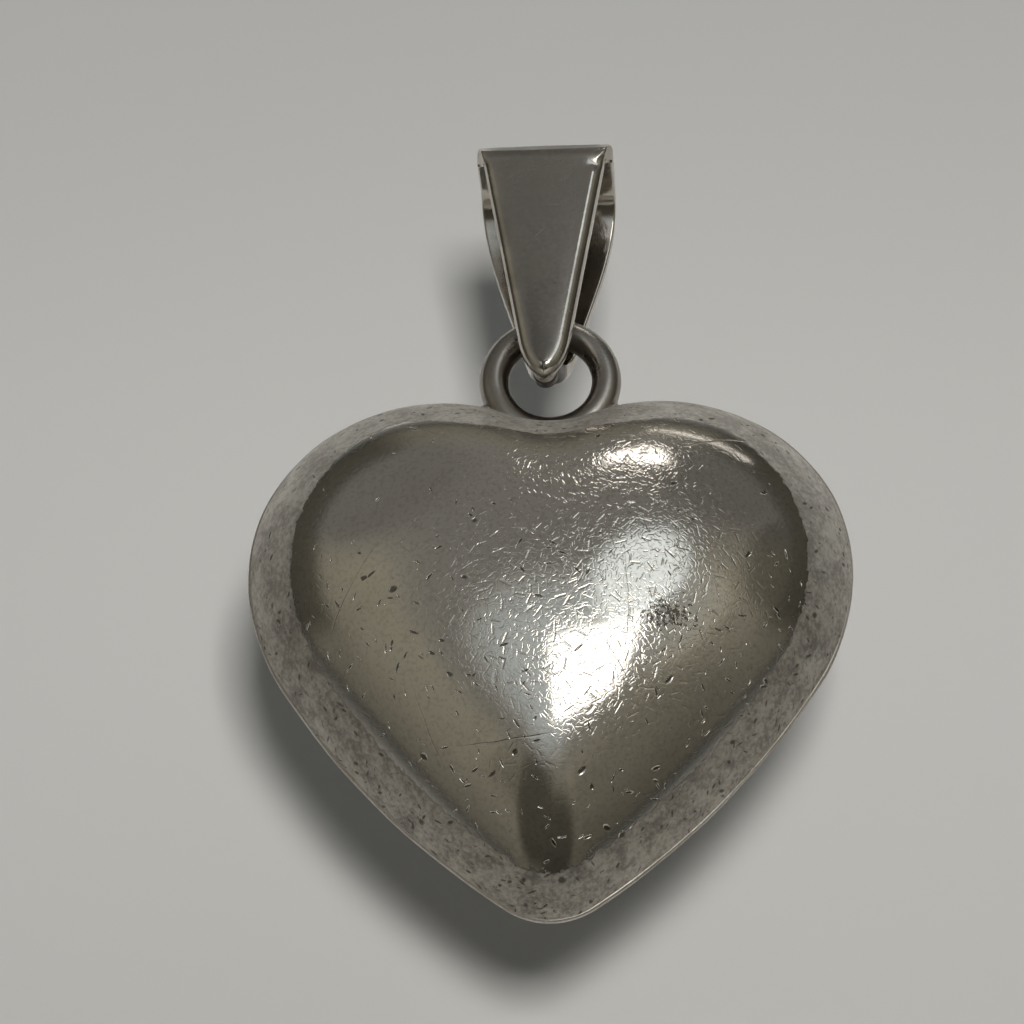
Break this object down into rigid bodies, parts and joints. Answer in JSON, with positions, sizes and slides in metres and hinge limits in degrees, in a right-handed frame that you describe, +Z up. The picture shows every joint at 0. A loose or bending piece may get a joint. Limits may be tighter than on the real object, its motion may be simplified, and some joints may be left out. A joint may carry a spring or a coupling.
{
  "type": "puffed heart pendant",
  "caption": "Hollow puffed heart pendant: domed half shells soldered at the edge, a round wire ring in the cleft and a tapered folded bail that hangs on a neck chain.",
  "frame": {"origin": "seat of the neck chain: the middle of the flat inside of the bail's top, above the ring's wire", "axes": "+Z up along the hanging pendant, +X to the right of a viewer who faces the heart's front, and the front faces -Y"},
  "size_m": [0.0253, 0.0132, 0.0354],
  "materials": {
    "polished_silver": "polished sterling silver, finely scratched and pitted with wear",
    "worn_silver": "sterling silver worn to a satin, darker in the crevices",
    "solder": "hard silver solder, satin"
  },
  "bodies": {
    "bail": {"bail_strip": "worn_silver", "bail_tip_solder": "solder"},
    "heart": {"heart_front_shell": "polished_silver", "heart_back_shell": "polished_silver", "seam_solder": "solder", "hanging_ring": "worn_silver", "ring_solder_left": "solder", "ring_solder_right": "solder"}
  },
  "joints": [
    {"name": "heart_swing", "type": "hinge", "parent": "bail", "child": "heart", "pos_m": [0.00014, 0, -0.00747], "axis": [1, 0, 0], "range_deg": [-110, 100]}
  ]
}
